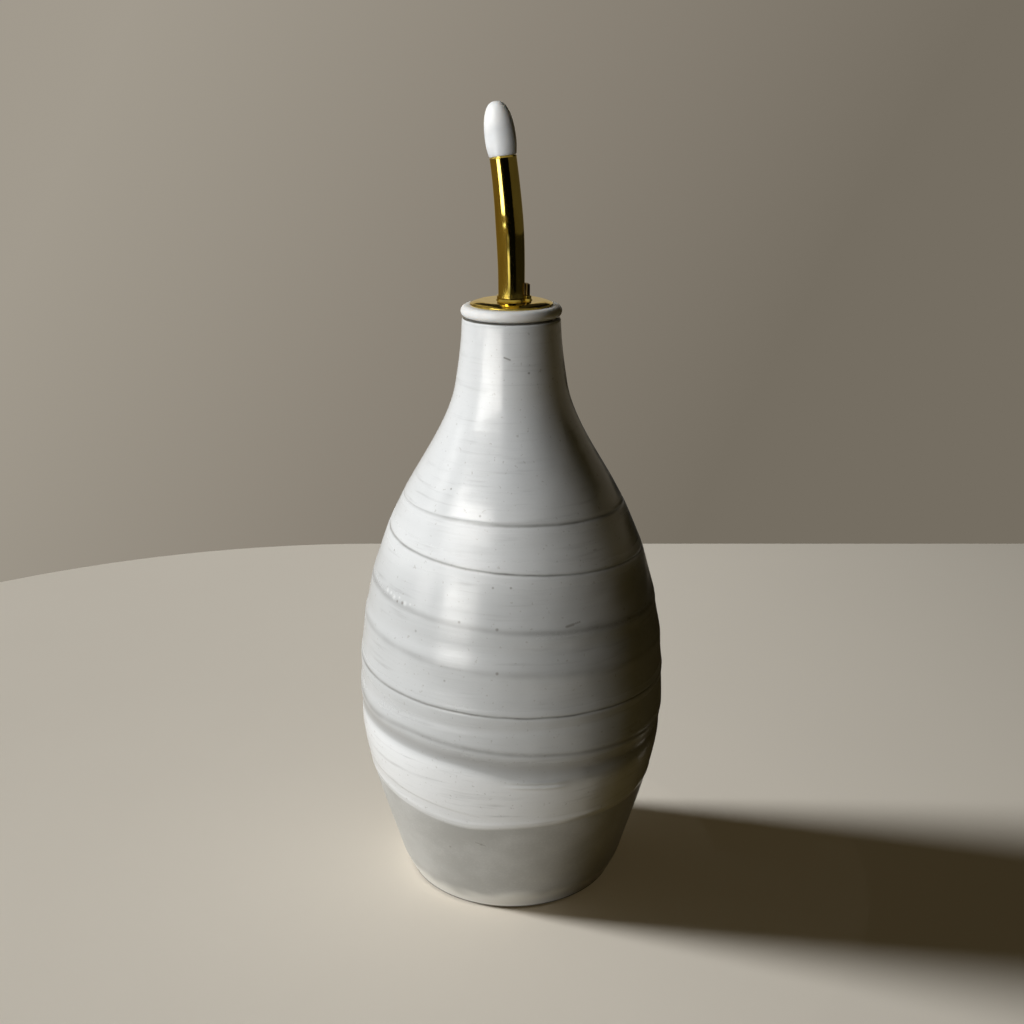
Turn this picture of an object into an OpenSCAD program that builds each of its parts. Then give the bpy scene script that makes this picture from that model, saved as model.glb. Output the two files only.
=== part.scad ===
// Oil cruet: a wheel-thrown stoneware bottle with a metal pourer in a silicone stopper.
// Millimetres, +Z up. The origin is the centre of the foot, on the table.
// The spout leans towards -X and the air vent stands on its +X side.

/* [Bottle outline] */
// Diameter of the foot where it stands on the table
foot_d = 68; // [60:0.5:74]
// Diameter of the heel, at the top of the trimmed bevel
heel_d = 75.8; // [70:0.2:84]
// Height of the heel
heel_h = 8; // [5:0.5:14]
// Widest diameter of the belly
belly_d = 99.2; // [90:0.2:110]
// Height of the widest point
belly_h = 63; // [50:1:80]
// Diameter where the shoulder turns into the neck curve
shoulder_d = 63.6; // [54:0.2:72]
// Height of that turn
shoulder_h = 134; // [124:1:142]
// Diameter at the root of the neck
neck_d = 34.2; // [32:0.2:40]
// Height of the neck's root
neck_h = 165; // [161:1:172]
// Diameter of the neck at the lip
lip_d = 30; // [28:0.2:32]
// Height of the bottle at the lip
bottle_h = 185; // [180:1:200]
// Outward lean of the wall at the table, as radius over height
foot_lean = 0.58; // [0.3:0.01:0.8]
// Outward lean of the wall at the heel
heel_lean = 0.28; // [0.15:0.01:0.4]
// Inward lean of the wall at the shoulder's turn
shoulder_lean = 0.58; // [0.45:0.01:0.75]
// Inward lean of the wall at the neck's root
neck_lean = 0.16; // [0.05:0.01:0.25]

/* [Bottle inside] */
// Thickness of the thrown wall
wall = 5.5; // [4:0.1:7]
// Thickness of the floor
floor_t = 7; // [5:0.5:10]
// Radius of the corner between floor and wall
floor_round = 9; // [4:0.5:12]
// Diameter of the straight bore in the neck
neck_bore_d = 21; // [20:0.1:23]
// Length of the straight bore below the lip
neck_bore_l = 27; // [26:0.5:32]
// Rounding of the lip's outer edge
lip_round = 1.2; // [0.6:0.1:1.6]
// Rounding of the mouth's inner edge
mouth_round = 0.8; // [0.4:0.1:1]
// Diameter of the shallow recess under the foot
recess_d = 50; // [40:1:54]
// Depth of that recess
recess_t = 1.5; // [0.5:0.1:2.5]

/* [Throwing mark] */
// Height of the spiral mark at the front, below the neck
mark_top_h = 129; // [110:1:132]
// Fall of the spiral in one turn
mark_pitch = 13.2; // [9:0.1:16]
// Number of turns
mark_turns = 5.5; // [1:0.25:6]
// Width of the mark on the wall
mark_w = 2.4; // [1:0.1:4]
// Depth of the mark
mark_t = 0.5; // [0.2:0.05:1]
// Turn over which the mark fades in and out, in degrees
mark_fade = 45; // [15:5:90]

/* [Stopper] */
// Diameter of the flange that rests on the lip
flange_d = 30.6; // [29:0.1:34]
// Thickness of the flange, which has a full-round edge
flange_t = 3.5; // [2.5:0.1:5]
// Length of the plug below the lip
plug_l = 24; // [18:0.5:25]
// Diameter of the plug between its ribs
plug_core_d = 17.6; // [16.6:0.1:19]
// Number of sealing ribs
rib_count = 4; // [2:1:5]
// Height of one rib
rib_h = 3.2; // [2:0.1:3.5]
// Radial clearance between ribs and neck bore
rib_clear = 0.05; // [0.02:0.01:0.1]

/* [Pourer] */
// Outer diameter of the stem inside the stopper
stem_d = 13.6; // [13.4:0.1:14.5]
// Wall of the stem
stem_wall = 0.6; // [0.4:0.05:0.65]
// Radial clearance between stem and stopper
stem_clear = 0.05; // [0.02:0.01:0.1]
// Axial play between the stopper and the stem's bead
bead_play = 0.3; // [0.1:0.05:0.6]
// Thickness of the bead that keeps the stopper on the stem
bead_d = 1.6; // [1:0.1:2.2]
// Diameter of the collar plate
collar_d = 25.2; // [24:0.1:27]
// Thickness of the collar plate's rim
collar_rim_t = 0.6; // [0.4:0.1:1]
// Diameter of the flat crown on the collar plate
crown_d = 18; // [15:0.2:20]
// Rise of the crown above the rim
crown_rise = 0.8; // [0.3:0.1:1.5]
// Outer diameter of the spout
spout_d = 8; // [7:0.1:8.4]
// Wall of the spout
spout_wall = 0.6; // [0.4:0.05:0.9]
// Length of the straight foot of the spout above the stopper
spout_foot_l = 6.5; // [5:0.5:12]
// Radius of the spout's long bend
bend_r = 265; // [150:5:400]
// Angle through which the spout bends
bend_angle = 7.9; // [4:0.1:12]
// Length of the reduced tip under the cap
tip_l = 8; // [6:0.1:8.4]
// Step in the spout's radius at the tip, which the cap butts against
tip_step = 0.6; // [0.5:0.05:0.8]
// Length below that step over which the bore is already narrow
tip_web = 1.5; // [0.8:0.1:3]
// Outer diameter of the air vent
vent_d = 1.6; // [1.4:0.1:2.2]
// Wall of the air vent
vent_wall = 0.3; // [0.2:0.05:0.4]
// Height of the vent's top above the stopper
vent_rise = 6.6; // [4:0.1:10]
// Depth of the vent's end below the lip
vent_drop = 45; // [36:1:60]
// Slope of the cut on the vent's top, in degrees
vent_cut = 15; // [0:1:40]
// Height of the solder ferrule on the crown
ferrule_h = 1.4; // [0.8:0.1:2.5]
// Radial thickness of the ferrule
ferrule_t = 0.35; // [0.25:0.05:0.6]
// Radial gap filled by solder between a tube and its hole
solder_gap = 0.05; // [0.02:0.01:0.1]

/* [Dust cap] */
// Length of the cap
cap_l = 15.3; // [14.5:0.1:20]
// Widest diameter of the cap
cap_d = 9.1; // [8.8:0.1:11]
// Diameter of the cap's open end
cap_base_d = 8.2; // [8:0.1:8.6]
// Height of the widest point above the open end
cap_wide_h = 4.5; // [3:0.1:6]
// Part of the widest diameter that the cap's side loses towards its crown
cap_taper = 0.04; // [0:0.01:0.3]
// Bluntness of the crown, where 2 is an ellipse
cap_blunt = 2.5; // [2:0.1:4]
// Wall of the cap at its crown
cap_top_t = 2; // [1:0.1:3]
// Radial clearance between cap and spout tip
cap_clear = 0.05; // [0.02:0.01:0.1]
// Gap between the cap's open end and the step on the spout
cap_seat_gap = 0.1; // [0.05:0.05:0.3]

/* [Hidden] */
$fn = 96;
// Overshoot of a cutting shape past the face that it opens
cut = 1;
// Straight pieces in each stretch of a revolved curve
curve_steps = 16;
// Straight pieces in a small rounding
round_steps = 6;
// Straight pieces in one turn of the throwing mark
turn_steps = 96;
// Direction of the front, in degrees from +X, where the throwing mark starts
front = -80;

// Radii and heights that several pieces share
neck_bore_r = neck_bore_d / 2;
throat_h = bottle_h - neck_bore_l;
stem_r = stem_d / 2;
spout_r = spout_d / 2;
spout_bore_r = spout_r - spout_wall;
tip_r = spout_r - tip_step;
tip_bore_r = tip_r - spout_wall;
vent_r = vent_d / 2;
vent_x = spout_r + vent_r + solder_gap;
flange_top_h = bottle_h + flange_t;
crown_h = flange_top_h + collar_rim_t + crown_rise;
plug_end_h = bottle_h - plug_l;
bead_h = plug_end_h - bead_play - bead_d / 2;
stem_end_h = bead_h - bead_d / 2;
bend_h = flange_top_h + spout_foot_l;

// Stations of the bottle's outline: height, radius, and lean as radius over height
outline = [
    [0, foot_d / 2, foot_lean],
    [heel_h, heel_d / 2, heel_lean],
    [belly_h, belly_d / 2, 0],
    [shoulder_h, shoulder_d / 2, -shoulder_lean],
    [neck_h, neck_d / 2, -neck_lean],
    [bottle_h, lip_d / 2, 0]
];
// Stations of the throat, where the inside narrows into the neck bore
throat = [
    [shoulder_h, shoulder_d / 2 - wall * sqrt(1 + pow(shoulder_lean, 2)), -shoulder_lean],
    [throat_h, neck_bore_r, 0]
];

// Radius at height z on a cubic curve between two stations
function station_r(a, b, z) =
    let (h = b[0] - a[0], t = (z - a[0]) / h)
    (2 * pow(t, 3) - 3 * pow(t, 2) + 1) * a[1]
    + (pow(t, 3) - 2 * pow(t, 2) + t) * h * a[2]
    + (3 * pow(t, 2) - 2 * pow(t, 3)) * b[1]
    + (pow(t, 3) - pow(t, 2)) * h * b[2];

// Outer radius of the bottle at height z
function outer_r(z) =
    let (i = max([for (k = [0:len(outline) - 2]) if (k == 0 || z >= outline[k][0]) k]))
    station_r(outline[i], outline[i + 1], z);

// How far the floor's corner holds the inner wall back at height z
function corner_in(z) =
    let (d = floor_round - min(z - floor_t, floor_round))
    floor_round - sqrt(pow(floor_round, 2) - pow(d, 2));

// Inner radius of the bottle at height z, below the shoulder
function inner_r(z) =
    let (f = min(1, (z - floor_t) / (shoulder_h - floor_t)))
    let (thick = outer_r(shoulder_h) - throat[0][1])
    outer_r(z) - wall - f * (thick - wall) - corner_in(z);

// Heights from a to b in equal steps
function steps(a, b, n) = [for (k = [0:n]) a + (b - a) * k / n];

// Quarter-round points about centre c with radius r, from angle a to angle b
function arc(c, r, a, b) = [for (w = steps(a, b, round_steps)) c + r * [cos(w), sin(w)]];

// Outline of the bottle's skin, closed along the axis
module bottle_skin_outline() {
    top = bottle_h - lip_round;
    wall_points = [
        for (k = [0:len(outline) - 2])
            for (z = steps(outline[k][0], min(top, outline[k + 1][0]), curve_steps))
                if (z > outline[k][0] || k == 0) [outer_r(z), z]
    ];
    lip = arc([outer_r(top) - lip_round, top], lip_round, 0, 90);
    polygon(concat([[0, 0]], wall_points, [for (k = [1:round_steps]) lip[k]], [[0, bottle_h]]));
}

// Outline of the hollow inside, open at the mouth
module bottle_hollow_outline() {
    corner = [for (z = steps(floor_t, floor_t + floor_round, round_steps)) [inner_r(z), z]];
    body_z = steps(floor_t + floor_round, shoulder_h, 2 * curve_steps);
    throat_z = steps(shoulder_h, throat_h, curve_steps);
    mouth = arc([neck_bore_r + mouth_round, bottle_h - mouth_round], mouth_round, 180, 90);
    polygon(concat(
        [[0, floor_t]],
        corner,
        [for (k = [1:2 * curve_steps]) [inner_r(body_z[k]), body_z[k]]],
        [for (k = [1:curve_steps]) [station_r(throat[0], throat[1], throat_z[k]), throat_z[k]]],
        mouth,
        [[neck_bore_r + mouth_round, bottle_h + cut], [0, bottle_h + cut]]
    ));
}

// Spiral mark left by the thrower's fingers: a V swept round the wall, falling to the right
module throwing_mark() {
    last = round(mark_turns * turn_steps);
    proud = mark_t / 2;
    // Half the V's width where it stands proud of the wall
    half_w = mark_w / 2 * (1 + proud / mark_t);
    corners = [[proud, half_w], [-mark_t, 0], [proud, -half_w]];
    // At its ends the V rises out of the wall
    function lift(k) = (mark_t + proud) * max(0, 1 - min(k, last - k) * 360 / turn_steps / mark_fade);
    points = [
        for (k = [0:last])
            let (w = front + 360 * k / turn_steps)
            let (z = mark_top_h - mark_pitch * k / turn_steps)
            for (c = corners)
                let (r = outer_r(z + c[1]) + c[0] + lift(k))
                [r * cos(w), r * sin(w), z + c[1]]
    ];
    sides = [
        for (k = [0:last - 1])
            for (j = [0:2])
                let (a = 3 * k + j, b = 3 * k + (j + 1) % 3)
                each [[a, b, b + 3], [a, b + 3, a + 3]]
    ];
    polyhedron(points, concat([[2, 1, 0]], sides, [[3 * last, 3 * last + 1, 3 * last + 2]]));
}

module bottle() {
    color("gainsboro") difference() {
        rotate_extrude() bottle_skin_outline();
        rotate_extrude() bottle_hollow_outline();
        throwing_mark();
        translate([0, 0, -cut]) cylinder(d = recess_d, h = recess_t + cut);
    }
}

// Saw-tooth outline of the ribbed plug, hanging below the lip
module plug_outline() {
    rib_r = neck_bore_r - rib_clear;
    core_r = plug_core_d / 2;
    // The ribs share the plug below the lip's rounded mouth
    first_h = bottle_h - mouth_round - rib_clear;
    pitch = (first_h - plug_end_h) / rib_count;
    ribs = [
        for (k = [0:rib_count - 1]) each [
            [core_r, first_h - k * pitch - (pitch - rib_h) / 2],
            [rib_r, first_h - k * pitch - (pitch - rib_h) / 2],
            [core_r, first_h - k * pitch - (pitch - rib_h) / 2 - rib_h]
        ]
    ];
    polygon(concat([[0, bottle_h]], [[core_r, bottle_h]], ribs, [[core_r, plug_end_h], [0, plug_end_h]]));
}

module stopper() {
    edge_r = flange_t / 2;
    edge_x = flange_d / 2 - edge_r;
    color("ivory") difference() {
        union() {
            translate([0, 0, bottle_h]) cylinder(r = edge_x, h = flange_t);
            translate([0, 0, bottle_h + edge_r]) rotate_extrude() translate([edge_x, 0]) circle(edge_r);
            rotate_extrude() plug_outline();
        }
        translate([0, 0, plug_end_h - cut])
            cylinder(r = stem_r + stem_clear, h = flange_top_h - plug_end_h + 2 * cut);
    }
}

module stem_tube() {
    color("goldenrod") difference() {
        union() {
            translate([0, 0, stem_end_h]) cylinder(r = stem_r, h = flange_top_h - stem_end_h);
            translate([0, 0, bead_h]) rotate_extrude() translate([stem_r, 0]) circle(d = bead_d);
        }
        translate([0, 0, stem_end_h - cut])
            cylinder(r = stem_r - stem_wall, h = flange_top_h - stem_end_h + 2 * cut);
    }
}

// Holes for the spout and the vent through the plates that they are soldered into
module tube_holes(from_h, to_h) {
    translate([0, 0, from_h - cut]) {
        cylinder(r = spout_r + solder_gap, h = to_h - from_h + 2 * cut);
        translate([vent_x, 0, 0]) cylinder(r = vent_r + solder_gap, h = to_h - from_h + 2 * cut);
    }
}

module collar_plate() {
    rim_r = collar_d / 2;
    edge_r = collar_rim_t / 2;
    edge = arc([rim_r - edge_r, edge_r], edge_r, -90, 90);
    slope = [
        for (t = steps(0, 1, round_steps))
            [rim_r - edge_r + t * (crown_d / 2 - rim_r + edge_r),
             collar_rim_t + crown_rise * (1 - pow(1 - t, 2))]
    ];
    color("goldenrod") difference() {
        translate([0, 0, flange_top_h]) rotate_extrude()
            polygon(concat(
                [[0, 0]],
                edge,
                [for (k = [1:round_steps]) slope[k]],
                [[0, collar_rim_t + crown_rise]]
            ));
        tube_holes(flange_top_h, crown_h);
    }
}

// One solder cup: a ring with a flared foot
module solder_cup(r) {
    flare_h = ferrule_h / 3;
    cylinder(r = r + ferrule_t, h = ferrule_h);
    cylinder(r1 = r + 2 * ferrule_t, r2 = r + ferrule_t, h = flare_h);
}

module ferrule() {
    color("goldenrod") difference() {
        translate([0, 0, crown_h]) {
            solder_cup(spout_r + solder_gap);
            translate([vent_x, 0, 0]) solder_cup(vent_r + solder_gap);
        }
        tube_holes(crown_h, crown_h + ferrule_h);
    }
}

// Places its children at the end of the bend, with +Z along the spout's tip
module at_tip() {
    translate([-bend_r, 0, bend_h])
        rotate([0, -bend_angle, 0])
            translate([bend_r, 0, 0])
                children();
}

// Solid of the spout's run: radius r in the foot and bend, radius r_tip at the tip.
// The bend stops short of the tip's step, and the ends run over the spout's faces.
module spout_run(r, r_tip, short, over) {
    translate([0, 0, flange_top_h - over]) cylinder(r = r, h = spout_foot_l + over);
    translate([-bend_r, 0, bend_h])
        rotate([90, 0, 0])
            rotate_extrude(angle = bend_angle - short / bend_r * 180 / PI)
                translate([bend_r, 0])
                    circle(r);
    at_tip() translate([0, 0, -short - over]) cylinder(r = r_tip, h = tip_l + short + 2 * over);
}

module spout_tube() {
    color("gold") difference() {
        spout_run(spout_r, tip_r, 0, 0);
        spout_run(spout_bore_r, tip_bore_r, tip_web, cut);
    }
}

module vent_tube() {
    end_h = bottle_h - vent_drop;
    top_h = flange_top_h + vent_rise;
    color("goldenrod") difference() {
        translate([vent_x, 0, end_h]) cylinder(r = vent_r, h = top_h - end_h + vent_d);
        translate([vent_x, 0, end_h - cut])
            cylinder(r = vent_r - vent_wall, h = top_h - end_h + vent_d + 2 * cut);
        translate([vent_x, 0, top_h])
            rotate([0, vent_cut, 0])
                translate([-2 * vent_d, -2 * vent_d, 0])
                    cube([4 * vent_d, 4 * vent_d, 4 * vent_d]);
    }
}

// Outer radius of the cap at height s above its open end: a flared skirt, then a tapering blunt dome
function cap_r(s) =
    let (t = (s - cap_wide_h) / (cap_l - cap_wide_h))
    s < cap_wide_h
        ? cap_d / 2 - (cap_d - cap_base_d) / 2 * pow(1 - s / cap_wide_h, 2)
        : cap_d / 2 * (1 - cap_taper * pow(t, 1.5)) * pow(1 - pow(t, cap_blunt), 1 / cap_blunt);

module dust_cap() {
    hollow_r = tip_r + cap_clear;
    hollow_l = tip_l + 2 * cap_seat_gap;
    dome_l = cap_l - cap_top_t - hollow_l;
    // The dome's angle runs evenly, so its last pieces stay short near the crown
    dome = [
        for (w = steps(0, 90, curve_steps))
            let (s = cap_wide_h + (cap_l - cap_wide_h) * sin(w))
            [w == 90 ? 0 : cap_r(s), s]
    ];
    skirt = [for (s = steps(0, cap_wide_h, round_steps)) [cap_r(s), s]];
    color("snow") at_tip() translate([0, 0, cap_seat_gap]) difference() {
        rotate_extrude()
            polygon(concat([[0, 0]], skirt, [for (k = [1:curve_steps]) dome[k]]));
        translate([0, 0, -cut]) cylinder(r = hollow_r, h = hollow_l + cut);
        translate([0, 0, hollow_l]) rotate_extrude()
            polygon(concat(
                [[0, 0]],
                [for (w = steps(0, 90, round_steps)) [w == 90 ? 0 : hollow_r * cos(w), dome_l * sin(w)]]
            ));
    }
}

bottle();
stopper();
stem_tube();
collar_plate();
ferrule();
spout_tube();
vent_tube();
dust_cap();
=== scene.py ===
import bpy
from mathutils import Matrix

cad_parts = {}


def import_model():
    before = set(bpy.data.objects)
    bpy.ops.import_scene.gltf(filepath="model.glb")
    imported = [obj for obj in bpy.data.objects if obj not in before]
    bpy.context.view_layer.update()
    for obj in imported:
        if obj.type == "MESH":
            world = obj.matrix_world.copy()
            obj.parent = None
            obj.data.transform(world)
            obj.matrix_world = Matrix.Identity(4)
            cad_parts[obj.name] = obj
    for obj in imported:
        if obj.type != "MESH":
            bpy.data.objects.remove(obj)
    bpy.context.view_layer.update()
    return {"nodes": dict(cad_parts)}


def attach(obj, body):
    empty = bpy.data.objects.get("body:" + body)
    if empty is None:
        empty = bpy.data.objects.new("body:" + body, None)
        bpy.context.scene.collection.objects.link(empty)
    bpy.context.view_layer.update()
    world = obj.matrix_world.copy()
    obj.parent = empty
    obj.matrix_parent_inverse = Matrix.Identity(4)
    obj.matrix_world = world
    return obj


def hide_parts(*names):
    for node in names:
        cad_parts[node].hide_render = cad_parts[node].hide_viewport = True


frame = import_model()

import math
from functools import cached_property

import bpy
import numpy as np
from mathutils import Matrix, Vector

MM = 0.001
TURN = 2 * math.pi

# The photo's camera, fitted to the outline, the rim and the foot of the bottle
PHOTO_PX = 1024
FOCAL_PX = 1258.9
AXIS_PX = 511.4                          # the bottle's axis, from the photo's left edge
SENSOR = 36.0
CLIP_START = 0.01
CAMERA_DISTANCE = 379.1 * MM
CAMERA_HEIGHT = 247.8 * MM
CAMERA_PITCH = math.radians(18.26)
CAMERA_AZIMUTH = math.radians(10)
FRONT = CAMERA_AZIMUTH - math.pi / 2     # angle of the bottle's front, from +X

# Bottle, in millimetres: height, radius and lean of each station of the outline
STATIONS = (
    (0.0, 34.0, 0.58),
    (8.0, 37.9, 0.28),
    (63.0, 49.6, 0.0),
    (134.0, 31.8, -0.58),
    (165.0, 17.1, -0.16),
    (185.0, 15.0, 0.0),
)
LIP_Z = STATIONS[-1][0]
LIP_R = STATIONS[-1][1]
LIP_ROUND = 1.2
MOUTH_ROUND = 0.8
NECK_BORE = 10.5
BORE_TOP = LIP_Z - 2.0                   # first row of the bore, below the rounded mouth
BORE_ROWS = 12
THROAT_Z = 158.0
THROAT_EASE = 0.3
WALL = 5.5
FLOOR = 7.0
FLOOR_ROUND = 9.0
FLOOR_RINGS = (8.0, 18.0)                # rows of the flat floor, from its round inwards
INSIDE_ROWS = 70
RECESS_R = 25.0
RECESS = 1.5
RECESS_ROUND = 0.5
RECESS_RIM = 0.3
RECESS_RING = 13.0                       # innermost row of the recess
FOOT_ROUND = 0.6
FOOT_STRIP = 1.0                         # flat row inside the foot's round
FOOT_PLAIN = 4.0                         # the wall's relief begins over this height
COLUMNS = 288
FINE_ROW = 0.33
COARSE_ROW = 1.2
FINE_FROM = 30.0
FINE_TO = 140.0

# Throwing marks, one spiral: height at the front, fall in a turn, strength at left and right,
# and depth of the hollow that the fingers left below the mark
MARKS = (
    (129.6, 7.0, 0.50, 0.92, 0.15),
    (116.8, 17.0, 0.90, 1.00, 0.28),
    (100.8, 17.0, 0.35, 0.50, 0.45),
    (88.4, 17.0, 0.30, 0.18, 0.36),
    (75.4, 12.0, 0.85, 1.00, 0.45),
    (63.6, 25.0, 0.42, 0.66, 0.15),
    (48.5, 12.0, 0.00, 0.00, 0.10),
)
FALL_SPAN = 0.22                         # turns to each side of the front that have the mark's fall
STRENGTH_SPAN = 0.12                     # turns to each side of the front where its strengths are met
SPIRAL_END_TURNS = 2                     # the spiral goes on past the first and the last mark
SPIRAL_END_FALL = 26.0
SPIRAL_STEPS = 2000
SPIRAL_WINDOW = 61                       # steps that even out the spiral's fall
MARK_DEPTH = 0.26
MARK_WIDTH = 0.4
MARK_SOFT = 2.2                          # how much wider the weak parts are
MARK_DULL = 4.0                          # the glaze is duller this near to a mark
HOLLOWS_LOW = (46.0, 60.0)               # the hollows begin and end between these heights
HOLLOWS_HIGH = (136.0, 126.0)

# The rest of the wall's relief. Angles are radians to the right of the front, and a fall is for a turn.
# A pair says where something begins and where it is full.
LEFT = (-0.6, -1.1)
BACK = (-math.pi, 1.0 - math.pi)
LEFT_DROP = 2.6                          # the lowest mark levels out at the left
LEFT_DROP_Z = 63.0
LEFT_DROP_HALF = 7.0
TROUGH_Z = 58.4
TROUGH_FALL = 29.0
TROUGH_SWING = 1.4                       # its fall turns back this fast
TROUGH_ENDS = (1.9, 1.1)
TROUGH_WIDTH = 2.6
TROUGH_DEPTH = 0.6
GLAZE_Z = 36.6
GLAZE_LEFT = 1.5                         # the glaze line rises at the left
GLAZE_RUN = 1.2                          # and runs down in one place
GLAZE_RUN_AT = -0.32
GLAZE_RUN_WIDTH = 0.25
GLAZE_WAVE = 0.2
GLAZE_WAVES = 5
GLAZE_STEP = 0.2
GLAZE_FADE = 1.6
GLAZE_ROLL = 0.14
GLAZE_ROLL_WIDTH = 0.8
LAP_Z = 39.6                             # edge of the second dip, left of the front
LAP_FALL = 27.0
LAP_STEP = 0.25
LAP_EDGE = 0.7
LAP_AT = -0.75
LAP_HALF = 0.5
LAP_FADE = 0.4
RIDGES = (54.1, 52.4)                    # two short ridges right of the front
RIDGE = 0.3
RIDGE_FALL = 22.0
RIDGE_WIDTH = 0.5
RIDGE_AT = 0.16
RIDGE_ENDS = (0.22, 0.12)

# Where the glaze is thin and grey, with painted shade in the trough, and where it is thick and white,
# which is the band below the trough, made whiter by painted bounce light
THIN_Z = (120.0, 104.0)
# share of painted trough shade, counted with the thin glaze
TROUGH_SHADE_SHARE = 0.5
BAND_BELOW = 2.6
BAND_DROP = 3.0                          # the band begins lower at the right
BAND_DROP_TURN = (-0.35, 0.15)
BAND_FADE = 4.0
BAND_BOUNCE_LOSS = 0.6                          # and is less white there, with less painted bounce light
BAND_BOUNCE_LOSS_TURN = (0.15, 0.75)

# Iron specks and pits in the glaze: degrees to the right of the front, height, radius
SPECKS = (
    (-16.1, 131.9, 0.42), (-37.0, 137.7, 0.35), (-62.8, 116.6, 0.40), (-50.6, 103.8, 0.45),
    (-47.4, 104.0, 0.60), (-19.9, 102.9, 0.45), (-5.3, 101.7, 0.50), (-7.4, 113.2, 0.40),
    (-0.2, 113.3, 0.40), (-38.3, 97.5, 0.50), (-5.0, 89.0, 0.50), (-24.2, 85.0, 0.45),
    (-12.3, 28.8, 0.45), (-26.6, 25.1, 0.40), (18.5, 170.7, 0.35),
)
# Pale blebs in the glaze, in the same measures
BLEBS = (
    (-58.8, 105.3, 0.75), (-55.8, 105.2, 0.60), (-53.2, 104.5, 0.90), (-49.7, 105.1, 0.50),
    (-45.9, 104.2, 0.80), (-42.9, 104.5, 0.45),
)
# Nicks: degrees and height of both ends, radius
NICKS = (
    ((20.8, 101.5), (26.4, 102.2), 0.36),
    ((21.2, 101.5), (23.6, 101.8), 0.46),
    ((-7.6, 175.3), (-1.6, 174.7), 0.28),
    ((-14.5, 29.4), (-10.5, 28.4), 0.30),
)
NICK_SPOTS = 8

# Stopper, collar plate, spout, vent and cap, in millimetres
TURNED_COLUMNS = 160
FLANGE_R = 15.3
FLANGE = 3.5
PLUG_Z = 161.0
PLUG_CORE = 8.8
PLUG_BORE = 6.85
PLUG_EASE = 0.4
PLUG_FILLET = 0.5
RIB_R = 10.45
RIBS = 4
RIB_MARGIN = 2.0                         # plain plug above and below the ribs
RIB_FORM = ((0.62, 0.25), (0.66, 0.0), (0.72, 0.0), (0.77, 0.2))    # share of the pitch, inset from RIB_R
RIB_END = 0.8
COLLAR_Z = LIP_Z + FLANGE
COLLAR_R = 12.6
COLLAR_RIM = 0.6
COLLAR_CROWN = 9.0
COLLAR_RISE = 0.8
COLLAR_ROWS = 20
COLLAR_HOLE_ROW = 0.6
DRILL_DEPTH = 12.0
DRILL_SIDES = 48
SPOUT_R = 4.0
SPOUT_BORE = 3.4
SPOUT_BEND_Z = 195.0
SPOUT_COLUMNS = 96
SPOUT_ROWS = 120
SPOUT_BORE_ROWS = 24
SPOUT_EASE = ((0.25, 0.0), (0.1, 0.05), (0.0, 0.15))    # below the step, inset from SPOUT_R
BEND_R = 265.0
BEND = math.radians(7.9)
SPOUT_STRAIGHT = SPOUT_BEND_Z - COLLAR_Z
SPOUT_LENGTH = SPOUT_STRAIGHT + BEND_R * BEND
SWELL = 0.22
SWELL_AT = 22.0
SWELL_WIDTH = 11.0
# Dents of the bending: height above the spout's foot, angle from the front, sizes and depth
SPOUT_DENTS = (
    (24.5, -0.35, 1.6, 0.40, 0.05),
    (19.0, -0.30, 2.2, 0.45, 0.06),
    (16.0, 0.70, 2.5, 0.60, 0.06),
)
TIP_R = 3.4
TIP_BORE = 2.8
TIP = 8.0
TIP_WEB = 1.5
TIP_ROWS = 8
TIP_EASE = ((0.2, 0.0), (0.05, 0.07), (0.0, 0.2))       # below the end, inset from TIP_R
STEP_ROW = 0.3                           # first row past a step of the spout
SOLDER_GAP = 0.05
VENT_X = 4.85
VENT_R = 0.8
VENT_BORE = 0.5
VENT_FROM = 140.0
VENT_TO = 195.1
VENT_SLOPE = math.radians(15)
VENT_COLUMNS = 40
CAP = 15.28
CAP_GAP = 0.1
CAP_WIDE = 4.55
CAP_WIDE_AT = 4.5
CAP_BASE = 4.1
CAP_EDGE = 0.3
CAP_EDGE_FORM = ((0.0, 0.25), (0.12, 0.08))             # height, inset from CAP_BASE
CAP_BASE_ROWS = 10
CAP_TAPER = 0.04
CAP_TAPER_POWER = 1.5
CAP_BLUNT = 2.5
CAP_CROWN_TO = 1.53                      # radians of the crown's quarter turn, the pole closes the rest
CAP_CROWN_ROWS = 48
CAP_HOLLOW = 3.45
CAP_HOLLOW_PAST = 1.0                    # room above the spout's tip
CAP_DOME = ((0.0, 0.35), (0.3, 0.8), (0.9, 1.0))        # below the hollow's end, share of its radius
CAP_MOUTH = ((0.25, 0.0), (0.0, 0.2))                   # height, flare of the hollow
CAP_COLUMNS = 128
SHARP_EDGE = math.radians(35)


def station_radius(z):
    """Radius of the drawn outline at heights z."""
    z = np.clip(np.asarray(z, float), 0, LIP_Z)
    r = np.empty_like(z)
    for (z0, r0, lean0), (z1, r1, lean1) in zip(STATIONS, STATIONS[1:]):
        inside = (z >= z0) & (z <= z1)
        h = z1 - z0
        t = (z[inside] - z0) / h
        r[inside] = ((2 * t**3 - 3 * t**2 + 1) * r0 + (t**3 - 2 * t**2 + t) * h * lean0
                     + (3 * t**2 - 2 * t**3) * r1 + (t**3 - t**2) * h * lean1)
    return r


def radius_at(z):
    """Radius of the drawn outline at one height."""
    return station_radius([z])[0]


def smooth(x):
    """0 below 0, 1 above 1, an S between."""
    x = np.clip(x, 0, 1)
    return x * x * (3 - 2 * x)


def ramp(x, start, full):
    """0 at start, 1 where it is full, an S between."""
    return smooth((x - start) / (full - start))


def step(x, width):
    """0 below 0, 1 above 0, an S of that width between."""
    return smooth(x / width + 0.5)


def bell(x, width):
    """1 at 0, falling off to both sides."""
    return np.exp(-(x / width) ** 2)


def column_angles(columns):
    """Angles round a ring."""
    return TURN * np.arange(columns) / columns


def from_front(angles):
    """The same angles, counted from the bottle's front to the right."""
    return (angles - FRONT + math.pi) % TURN - math.pi


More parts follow.
